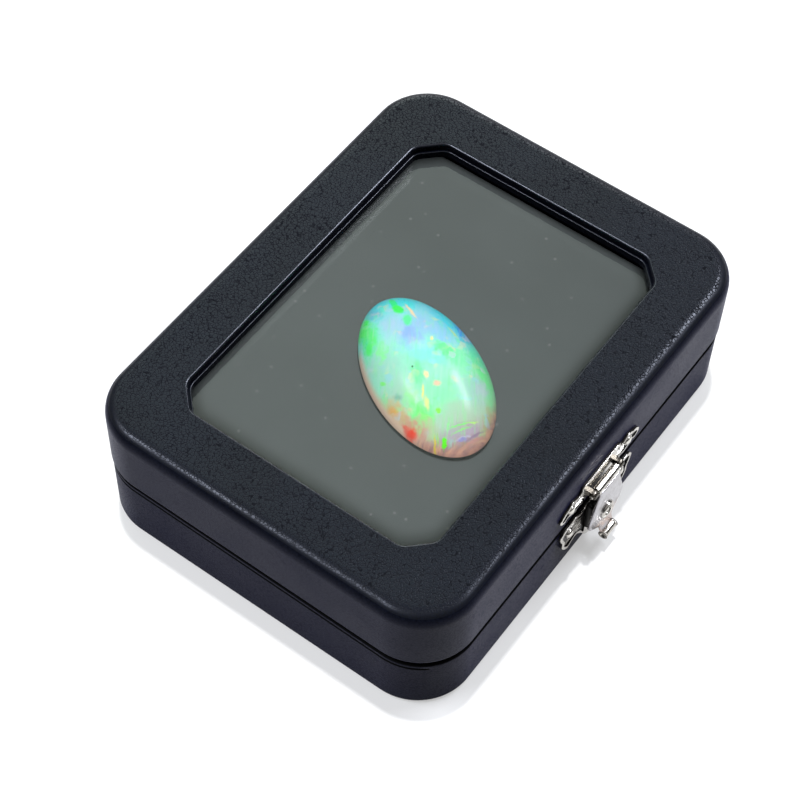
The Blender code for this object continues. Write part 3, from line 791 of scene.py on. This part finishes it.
claspLook = {
    "x": -0.4 * mm, "front": -34.5 * mm,
    "low": 0.03 * mm, "high": 0.5 * mm, "edge": 0.1 * mm, "shift": -0.25 * mm,  # both plates
    "barrelZ": 17.0 * mm, "barrelOut": 1.5 * mm, "barrel": 0.82 * mm, "reach": 3.0 * mm,
    "knuckle": 1.0 * mm, "pin": 0.32 * mm, "play": 0.25 * mm,
    "rib": 0.22 * mm, "ribEnd": 0.10 * mm, "nail": (0.8 * mm, 0.8 * mm, 0.45 * mm), "nailSunk": 0.1 * mm,
    "seat": 1.05 * mm, "seatTop": 0.95 * mm, "seatSunk": 0.06 * mm,
    "webLow": -0.5 * mm, "webHigh": 1.3 * mm, "pinEnd": 0.25 * mm,
    "boss": (6.2 * mm, 1.42 * mm, 6.2 * mm), "bossLow": 5.6 * mm, "bossOut": 0.75 * mm,
    "fieldWalls": 0.28 * mm,  # the middles of the sunk fields' walls lie above this, the outer ones below
}
upperLook = {
    # Right half and its sunk field, millimetres from the clasp's middle and from the table
    "outline": [(4.6, 20.3), (5.3, 19.5), (6.2, 18.9), (7.2, 19.3), (8.3, 19.5), (9.3, 18.9), (10.3, 18.5),
                (11.3, 17.7), (11.2, 16.8), (10.2, 16.2), (9.2, 16.6), (8.2, 16.0), (7.1, 15.6),
                (6.0, 15.9), (5.0, 15.5), (4.2, 15.9), (3.1, 16.2)],
    "field": [(4.7, 19.5), (5.6, 18.7), (6.3, 18.45), (7.2, 18.85), (8.2, 19.0), (9.1, 18.5),
              (10.1, 18.05), (10.8, 17.45), (10.75, 17.0), (10.15, 16.65), (9.2, 17.05), (8.1, 16.5),
              (7.1, 16.1), (6.0, 16.35), (5.0, 16.0), (4.7, 16.05)],
    "sink": 0.2 * mm, "nail": (8.2, 17.6),
    "ribs": [((4.7, 18.6), (7.0, 18.4)), ((4.7, 17.9), (7.0, 17.8)), ((4.9, 17.1), (7.0, 17.2)),
             ((5.2, 16.5), (7.2, 16.7))],
}
lowerLook = {
    "outline": [(2.94, 12.7), (3.86, 12.1), (5.06, 12.3), (6.35, 12.9), (7.82, 12.5), (9.38, 12.3),
                (10.4, 11.2), (10.03, 9.8), (9.48, 8.6), (9.48, 7.3), (8.65, 6.0), (7.64, 5.3),
                (6.53, 5.9), (5.43, 6.3), (4.32, 5.4), (3.22, 4.0), (2.39, 2.6), (1.2, 1.5)],
    "field": [(2.6, 12.1), (3.9, 11.6), (5.0, 11.75), (6.3, 12.35), (7.7, 11.95), (9.1, 11.75),
              (9.8, 11.0), (9.5, 9.95), (8.95, 8.7), (8.95, 7.45), (8.35, 6.5), (7.6, 5.95), (6.6, 6.45),
              (5.3, 6.85), (3.95, 5.8), (2.6, 4.2)],
    "sink": 0.3 * mm, "nail": (7.4, 9.4),
    "ribs": [((4.0, 11.3), (9.6, 11.5)), ((4.0, 10.5), (7.2, 10.4)), ((4.0, 9.6), (7.0, 9.3)),
             ((4.0, 8.7), (7.2, 8.2)), ((4.0, 7.8), (8.6, 6.9)), ((4.0, 6.9), (6.2, 6.9))],
}
flapLook = {
    # Height, half width: neck at the barrel, wide round the collar, narrow at the curl
    "widths": [(17.0, 2.95), (15.8, 2.95), (14.4, 3.35), (13.0, 3.8), (11.5, 4.35), (10.0, 4.75),
               (8.8, 4.9), (7.9, 4.6), (7.2, 3.8), (6.6, 2.8), (6.1, 2.1), (5.5, 1.7), (3.8, 1.6)],
    "thick": 0.5 * mm, "bottom": 3.8 * mm, "out": 0.62 * mm, "kickFrom": 8.6 * mm, "kick": 0.042,
    "bow": 0.14 * mm,  # pressed a little outwards along the middle
    "studZ": 9.0 * mm, "collar": 1.34 * mm, "collarEdge": 0.36 * mm, "collarHigh": 0.3 * mm, "dome": 0.5 * mm,
    "curl": 0.74 * mm, "curlHalf": 1.7 * mm,
}


def smoothLoop(points, steps):
    # A smooth line through the points; the long straight parts stay straight
    loop = []
    for i, b in enumerate(points):
        a, c, d = points[i - 1], points[(i + 1) % len(points)], points[(i + 2) % len(points)]
        if (c - b).length > 3.0:
            loop.append(b)
            continue
        for step in range(steps):
            t = step / steps
            loop.append(0.5 * (2 * b + (c - a) * t + (2 * a - 5 * b + 4 * c - d) * t * t
                               + (3 * b - a - 3 * c + d) * t ** 3))
    return loop


def flatSolid(name, loop, low, high):
    deselectAll()
    bpy.ops.mesh.primitive_circle_add(vertices=len(loop), radius=1.0, fill_type="NGON")
    solid = startPiece(name)
    for v, spot in zip(solid.data.vertices, loop):
        v.co = (spot.x * mm, spot.y * mm, low)
    editPiece(solid, "FACE")
    bpy.ops.mesh.select_all(action="SELECT")
    bpy.ops.mesh.extrude_region_move(TRANSFORM_OT_translate={"value": (0, 0, high - low)})
    leaveEdit()
    tidyMesh(solid)
    return solid


def makePlate(name, look):
    # Pressed sheet: a bright rim round two sunk fields, which are painted dark as shade and dark reflection
    clasp, high, sunk = claspLook, claspLook["high"], claspLook["high"] - look["sink"]
    half = [Vector(spot) for spot in look["outline"]]
    loop = smoothLoop(half + [Vector((-spot.x, spot.y)) for spot in reversed(half)], 5)
    plate = flatSolid(name, loop, clasp["low"], high)
    bevelEdges(plate, lambda e: isAt(e, high), clasp["edge"], 3)
    for side in (-1, 1):
        edge = smoothLoop([Vector((side * x, z)) for x, z in look["field"]], 5)
        cutWith(plate, flatSolid("claspField", edge, sunk, high + 1 * mm))
    tidyMesh(plate)
    shadeSoft(plate, 50)
    paint(plate, nickel, nickelShade, nickelEdge)
    # The cut edges and the sunk fields get the painted shade nickel
    paintWhere(plate, nickelEdge, lambda f: abs(f.normal.z) < 0.1)
    paintWhere(plate, nickelShade, lambda f: high - slack > f.center.z > sunk - slack
               and (f.normal.z > 0.99 or abs(f.normal.z) < 0.1 and f.center.z > clasp["fieldWalls"]))
    extras = []

    def at(side, spot, height):
        return (side * spot[0] * mm, spot[1] * mm, height)

    for side in (-1, 1):
        for start, end in look["ribs"]:
            extras.append(addBar("rib", at(side, start, sunk), at(side, end, sunk), clasp["rib"], 12,
                                 clasp["ribEnd"]))
        nail = addBall("nail", at(side, look["nail"], high - clasp["nailSunk"]), clasp["nail"])
        seat = addBar("nailSeat", at(side, look["nail"], clasp["low"]),
                      at(side, look["nail"], high - clasp["seatSunk"]), clasp["seat"], 28, clasp["seatTop"])
        for extra in (nail, seat):
            shadeSoft(extra, 40, False)
            extras.append(extra)
    for extra in extras:
        paint(extra, nickel)
    joinInto(plate, extras)
    settle(plate, (clasp["x"] + clasp["shift"], clasp["front"], 0), (pi / 2, 0, 0))
    return plate


def roundBar(name, x0, x1, out, z, radius, steps=32, edge=0.1 * mm):
    # A bar along X in front of the box, with eased ends
    y = claspLook["front"] - out
    bar = addBar(name, (claspLook["x"] + x0, y, z), (claspLook["x"] + x1, y, z), radius, steps)
    bevelEdges(bar, lambda e: any(abs(f.normal.x) > 0.9 for f in e.link_faces) and e.is_manifold, edge, 3)
    shadeSoft(bar, 45)
    paint(bar, nickel)
    return bar


def makeUpperPlate():
    look = claspLook
    out, z = look["barrelOut"], look["barrelZ"]
    plate = makePlate("claspUpper", upperLook)
    inner = look["reach"] + look["play"]
    outer = inner + look["knuckle"]
    extras = []
    for side in (-1, 1):
        ends = sorted((side * inner, side * outer))
        knuckle = roundBar("claspKnuckle", *ends, out, z, look["barrel"] * 0.85)
        web = addBlock("claspWeb", (look["knuckle"] - 0.2 * mm, out, look["webHigh"]), z + look["webLow"],
                       (look["x"] + side * (inner + outer) / 2, look["front"] - out / 2))
        for extra in (knuckle, web):
            paint(extra, nickelWorn)
            extras.append(extra)
    reach = outer + look["pinEnd"]
    extras.append(roundBar("claspPin", -reach, reach, out, z, look["pin"], 16, 0.08 * mm))
    joinInto(plate, extras)
    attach(plate, "lid")
    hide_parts("clasp_upper_plate")


def makeLowerPlate():
    look = claspLook
    plate = makePlate("claspLower", lowerLook)
    boss = addBlock("claspBoss", look["boss"], look["bossLow"], (look["x"], look["front"] - look["bossOut"]))
    bevelEdges(boss, isUpright, 0.5 * mm, 4)
    bevelEdges(boss, lambda e: all(v.co.y < look["front"] - 0.9 * mm for v in e.verts), 0.3 * mm, 3)
    shadeSoft(boss, 45)
    # The boss is painted near black, a painted shadow beside the collar
    paint(boss, nickelShade)
    joinInto(plate, [boss])
    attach(plate, "base")
    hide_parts("clasp_lower_plate")


def flapHalfWidth(z):
    # Half the flap's width at a height, in metres
    rows = flapLook["widths"]
    height = z / mm
    for (high, wide), (low, narrow) in zip(rows, rows[1:]):
        if low <= height <= high:
            share = (high - height) / (high - low)
            share = share * share * (3 - 2 * share) if abs(wide - narrow) < 0.05 else share
            return (wide + (narrow - wide) * share) * mm
    return (rows[0] if height > rows[0][0] else rows[-1])[1] * mm


def flapOut(z):
    # How far the flap stands out at a height: it kicks out towards the curl
    kick = max(0.0, flapLook["kickFrom"] - z)
    return claspLook["barrelOut"] + flapLook["out"] + flapLook["kick"] * kick * kick / mm


def makeCollar():
    # A short tube with a rolled lip round a well, and the stud's head in it; tube, seat and well are painted
    # near black as the shade round the collar
    look, place = flapLook, claspLook
    x, z = place["x"], look["studZ"]
    near = place["front"] - flapOut(z) - 0.12 * mm
    lip = near - 0.1 * mm - look["collarHigh"]

    def turned(name, start, end, radius, endRadius=None):
        return addBar(name, (x, start, z), (x, end, z), radius, 40, endRadius)

    deselectAll()
    bpy.ops.mesh.primitive_torus_add(major_segments=48, minor_segments=16, major_radius=look["collar"],
                                     minor_radius=look["collarEdge"], location=(x, lip, z),
                                     rotation=(pi / 2, 0, 0))
    collar = startPiece("claspCollar")
    tube = turned("claspTube", near + 0.1 * mm, lip, look["collar"] + 0.2 * mm)
    seat = turned("claspSeat", near + 0.1 * mm, near - 0.2 * mm, look["collar"] + 0.85 * mm,
                  look["collar"] + 0.6 * mm)
    well = turned("claspWell", lip + 0.3 * mm, lip + 0.12 * mm, look["collar"])
    stud = addBall("claspStud", (x, lip + 0.1 * mm, z), (look["dome"], 0.3 * mm, look["dome"]), 28)
    for extra in (collar, tube, seat, well, stud):
        shadeSoft(extra, 60, False)
        # Tube, seat and well get the painted shade nickel, the collar and stud stay bright
        paint(extra, nickel if extra in (collar, stud) else nickelShade)
    return [collar, tube, seat, well, stud]


def makeFlap():
    look, place = flapLook, claspLook
    bottom, top = look["bottom"], place["barrelZ"]
    deselectAll()
    bpy.ops.mesh.primitive_grid_add(x_subdivisions=14, y_subdivisions=40, size=2.0)
    flap = startPiece("claspFlap")
    for v in flap.data.vertices:
        across, z = v.co.x, bottom + (top - bottom) * (v.co.y + 1.0) / 2
        bow = look["bow"] * (1.0 - across * across)
        v.co = (place["x"] + across * flapHalfWidth(z), place["front"] - flapOut(z) - bow, z)
    applyNow(flap, "Thickness", "SOLIDIFY", thickness=look["thick"], offset=0.0)
    applyNow(flap, "Eased edges", "BEVEL", width=0.1 * mm, segments=2, limit_method="ANGLE",
             angle_limit=radians(50))
    tidyMesh(flap)
    shadeSoft(flap, 50)
    paint(flap, nickelFlap)
    barrel = roundBar("claspBarrel", -place["reach"], place["reach"], place["barrelOut"], top,
                      place["barrel"], 40)
    # Rolled end: a bar whose end faces are sunk
    curl = roundBar("claspCurl", -look["curlHalf"], look["curlHalf"], flapOut(bottom) + 0.3 * mm,
                    bottom - 0.1 * mm, look["curl"], 32)
    editPiece(curl, "FACE")
    pick(curl, lambda f: abs(f.normal.x) > 0.95)
    bpy.ops.mesh.inset(thickness=0.22 * mm, depth=0, use_individual=True)
    bpy.ops.mesh.inset(thickness=0.05 * mm, depth=-0.5 * mm, use_individual=True)
    leaveEdit()
    joinInto(flap, [barrel, curl, *makeCollar()])
    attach(flap, "hasp")
    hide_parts("hasp_flap")


makeUpperPlate()
makeLowerPlate()
makeFlap()
print("clasp made")


# Hinges on the back: stamped leaves with rounded corners, knuckles on a headed pin, two nails in each leaf

hingeLook = {
    "at": (-24.0 * mm, 24.0 * mm), "half": 6.0 * mm, "back": 34.5 * mm,
    "axisY": 35.9 * mm, "axisZ": 13.55 * mm, "radius": 1.1 * mm, "middle": 1.7 * mm, "play": 0.25 * mm,
    "thick": 0.6 * mm, "gap": 0.03 * mm, "drop": 6.9 * mm, "corner": 1.3 * mm, "pin": 0.4 * mm,
    "tab": 1.0 * mm, "edge": 0.12 * mm, "nail": (3.7 * mm, 4.6 * mm),
    "nailHead": (0.8 * mm, 0.42 * mm, 0.8 * mm), "pinHead": (0.32 * mm, 0.75 * mm, 0.75 * mm),
}


def hingeBar(name, x0, x1, radius, steps=32):
    return addBar(name, (x0, hingeLook["axisY"], hingeLook["axisZ"]),
                  (x1, hingeLook["axisY"], hingeLook["axisZ"]), radius, steps)


def hingeKnuckle(x0, x1):
    bar = hingeBar("hingeKnuckle", x0, x1, hingeLook["radius"])
    bevelEdges(bar, lambda e: any(abs(f.normal.x) > 0.9 for f in e.link_faces), hingeLook["edge"], 3)
    return bar


def hingeSheet(name, width, low, high, x=0):
    # A flat piece as thick as a leaf, just off the back of the box
    look = hingeLook
    return addBlock(name, (width, look["thick"], high - low), low,
                    (x, look["back"] + look["gap"] + look["thick"] / 2))


def hingeLeaf(name, low, high, outerZ):
    # A leaf with its two far corners rounded
    look = hingeLook
    leaf = hingeSheet(name, 2 * look["half"], low, high)
    outside = look["back"] + look["gap"] + look["thick"]

    def isFarCorner(edge):
        return abs(edge.verts[0].co.x - edge.verts[1].co.x) < hair and all(
            abs(v.co.z - outerZ) < hair for v in edge.verts)

    bevelEdges(leaf, isFarCorner, look["corner"], 8)
    bevelEdges(leaf, lambda e: all(abs(v.co.y - outside) < hair for v in e.verts), look["edge"], 3)
    return leaf


def hingeNails(z):
    x, y = hingeLook["nail"][0], hingeLook["back"] + hingeLook["thick"]
    return [addBall("hingeNail", (side * x, y, z), hingeLook["nailHead"], 20) for side in (-1, 1)]


def finishHinge(piece, extras):
    joinInto(piece, extras)
    shadeSoft(piece, 40, False)
    paint(piece, nickel)


def makeHinges():
    look = hingeLook
    half, middle, radius, tab = look["half"], look["middle"], look["radius"], look["radius"] + look["tab"]
    z, low, high = look["axisZ"], look["axisZ"] - look["drop"], look["axisZ"] + look["drop"]
    inner = middle + look["play"]
    base = hingeLeaf("hingeBaseLeaf", low, z - radius - look["play"], low)
    extras = hingeNails(z - look["nail"][1])
    for side in (-1, 1):
        extras.append(hingeKnuckle(*sorted((side * inner, side * half))))
        extras.append(hingeSheet("hingeTab", half - inner - 0.2 * mm, z - tab, z, side * (inner + half) / 2))
        extras.append(addBall("hingePinHead", (side * (half + 0.05 * mm), look["axisY"], z),
                              look["pinHead"], 20))
    extras.append(hingeBar("hingePin", -half, half, look["pin"], 16))
    finishHinge(base, extras)
    lid = hingeLeaf("hingeLidLeaf", z + radius + look["play"], high, high)
    extras = hingeNails(z + look["nail"][1])
    extras.append(hingeKnuckle(-middle, middle))
    extras.append(hingeSheet("hingeTab", 2 * middle - 0.2 * mm, z, z + tab))
    finishHinge(lid, extras)
    for side, shift in zip(("left", "right"), look["at"]):
        for model, node, body in ((base, "hinge_base_leaf_", "base"), (lid, "hinge_lid_leaf_", "lid")):
            twin = copyPiece(model, model.name + side.title(), (shift, 0, 0))
            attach(twin, body)
            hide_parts(node + side)
    for model in (base, lid):
        bpy.data.objects.remove(model, do_unlink=True)


makeHinges()
print("hinges made")


# Glass: a plain pane under the window, its edges eased

paneLook = {"corner": 3.0 * mm, "edge": 0.2 * mm}


def makePane():
    low, high = (Vector(spot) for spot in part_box("glass_pane"))
    pane = addBlock("glassPane", tuple(high - low), low.z, ((low.x + high.x) / 2, (low.y + high.y) / 2))
    bevelEdges(pane, isUpright, paneLook["corner"], 8)
    bevelEdges(pane, lambda e: isAt(e, low.z) or isAt(e, high.z), paneLook["edge"], 2)
    shadeSoft(pane, 30)
    paint(pane, glass)
    pane.visible_shadow = False  # clear glass lets the light down to the pad
    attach(pane, "lid")
    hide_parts("glass_pane")


makePane()
print("glass made")

# The board frame under the glass stays as the model has it
paint(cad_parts["glass_liner"], board)


# Studio: pale floor, soft surround, two long soft lights, camera

studioLook = {
    "floor": (0.36, 0.36, 0.36), "floorGlow": 0.43,
    "horizon": 0.06, "middle": 0.4, "top": 0.7,  # how bright the surround is
    # Soft glows in the surround: direction, angle where they begin to fade and where they end, brightness
    "glows": [{"towards": (0.43, 0.57, 0.70), "inner": 8.0, "outer": 30.0, "glow": 1.95},
              {"towards": (0.75, 0.50, 0.48), "inner": 4.0, "outer": 24.0, "glow": 4.5}],
    "tint": (0.90, 1.04, 0.93),
    # Lamps: direction, distance, length and width in metres, power; the strips also have a way that they run
    "fill": {"towards": (-0.46, -0.314, 0.827), "away": 1.2, "size": (0.22, 0.22), "power": 20.0},
    "overhead": {"towards": (0.10, 0.09, 1.0), "spread": 2.0, "power": 3.1},
    "strips": {
        "left": {"towards": (-0.37, 0.40, 0.83), "away": 1.0, "along": (-0.26, -0.40, 0.08),
                 "size": (0.48, 0.13), "power": 7.8},
        "right": {"towards": (0.56, -0.22, 0.77), "away": 1.0, "along": (-0.227, -0.44, 0.054),
                  "size": (0.52, 0.13), "power": 8.8},
    },
    "stripColour": (0.90, 0.93, 1.0), "stripTarget": (0, 0, 15 * mm), "stripsOnStone": 0.5,
}
underGlass = ("padFoam", "opalStone")


def makeFloor():
    deselectAll()
    bpy.ops.mesh.primitive_plane_add(size=5.0, location=(0, 0, 0))
    floor = startPiece("studioFloor")
    tree = newTree("paleFloor")
    tree.set(Base_Color=(*studioLook["floor"], 1.0), Roughness=0.9, Specular_IOR_Level=0.1,
             Emission_Color=(1.0, 1.0, 1.0, 1.0), Emission_Strength=studioLook["floorGlow"])
    paint(floor, tree.owner)


def makeWorld():
    look = studioLook
    world = bpy.data.worlds.new("softSurround")
    bpy.context.scene.world = world
    tree = Tree(world, "Background", "Generated")
    stops = ((0.0, look["horizon"]), (0.5, look["horizon"]), (0.8, look["middle"]), (1.0, look["top"]))
    strength = tree.ramp(tree.axes()["Z"], [(at, (value, value, value)) for at, value in stops])
    lobes = []
    for glow in look["glows"]:
        towards = Vector(glow["towards"]).normalized()
        facing = tree.vectors("DOT_PRODUCT", {0: tree.place, 1: towards}, "Value")
        outer, inner = cos(radians(glow["outer"])), cos(radians(glow["inner"]))
        lobes.append(tree.span(facing, outer, inner, 0.0, glow["glow"], True))
        strength = tree.sums("MAXIMUM", lobes[-1], strength)
    tree.set(Strength=strength, Color=tree.blend(lobes[0], (1.0, 1.0, 1.0), look["tint"]))
    world.cycles_visibility.transmission = False  # seen through the pane it would only add noise


def linkLight(lamp, pieces, state):
    # The lamp lights only these pieces, or all but these
    group = bpy.data.collections.new(lamp.name + "Pieces")
    for name in pieces:
        group.objects.link(bpy.data.objects[name])
    lamp.light_linking.receiver_collection = group
    for row in group.collection_objects:
        row.light_linking.link_state = state


def addLamp(name, kind, look, target=(0, 0, 0)):
    # A lamp that stands in its direction from the target and looks back at it
    away = Vector(look["towards"]).normalized()
    deselectAll()
    bpy.ops.object.light_add(type=kind, location=Vector(target) + away * look.get("away", 0.0))
    lamp = bpy.context.object
    lamp.name = name
    lamp.data.energy = look["power"]
    lamp.rotation_euler = away.to_track_quat("Z", "Y").to_euler()
    if kind == "AREA":
        lamp.data.shape = "RECTANGLE"
        lamp.data.size, lamp.data.size_y = look["size"]
    return lamp


def makeStrips():
    # Each soft strip is two lamps, because what lies under the glass needs less of it
    for name, look in studioLook["strips"].items():
        away, side = Vector(look["towards"]).normalized(), Vector(look["along"])
        along = (side - away * side.dot(away)).normalized()
        for kind, share, pieces, state in (
                ("SoftLight", 1.0, (*underGlass, "glassPane"), "EXCLUDE"),
                ("StoneLight", studioLook["stripsOnStone"], ("opalStone",), "INCLUDE")):
            lamp = addLamp(name + kind, "AREA", look, studioLook["stripTarget"])
            lamp.data.energy *= share
            lamp.data.color = studioLook["stripColour"]
            lamp.rotation_euler = Matrix((along, away.cross(along), away)).transposed().to_euler()
            linkLight(lamp, pieces, state)


def makeUnseenLights():
    # A soft lamp beside the camera for what lies under the glass, and for all the rest a small high one
    # behind the box, which gives the narrow even shadow along the two near sides; nothing mirrors them
    fill = addLamp("fillLight", "AREA", studioLook["fill"])
    overhead = addLamp("overheadLight", "SUN", studioLook["overhead"])
    overhead.data.angle = radians(studioLook["overhead"]["spread"])
    for lamp, state in ((fill, "INCLUDE"), (overhead, "EXCLUDE")):
        lamp.visible_glossy = False
        lamp.visible_transmission = False
        linkLight(lamp, underGlass, state)


cameraLook = {
    "azimuth": -55.6855, "elevation": 55.5392, "roll": 2.1708,  # degrees
    "place": (-0.167662, -0.109977, 0.299006), "sensor": 36.0, "lens": 94.92,
}


def makeCamera():
    look = cameraLook
    a, e, roll = radians(look["azimuth"]), radians(look["elevation"]), radians(look["roll"])
    back = Vector((sin(a) * cos(e), -cos(a) * cos(e), sin(e)))
    level = Vector((cos(a), sin(a), 0))
    upright = back.cross(level)
    right = level * cos(roll) + upright * sin(roll)
    up = upright * cos(roll) - level * sin(roll)
    bpy.ops.object.camera_add()
    camera = bpy.context.object
    turned = Matrix((right, up, back)).transposed().to_4x4()
    camera.matrix_world = Matrix.Translation(look["place"]) @ turned
    camera.data.sensor_width = look["sensor"]
    camera.data.lens = look["lens"]
    camera.data.clip_start = 0.01
    camera.data.clip_end = 20.0
    bpy.context.scene.camera = camera


makeFloor()
makeWorld()
makeStrips()
makeUnseenLights()
makeCamera()
bpy.context.scene.view_settings.view_transform = "Standard"
print("studio made")

bpy.context.view_layer.update()
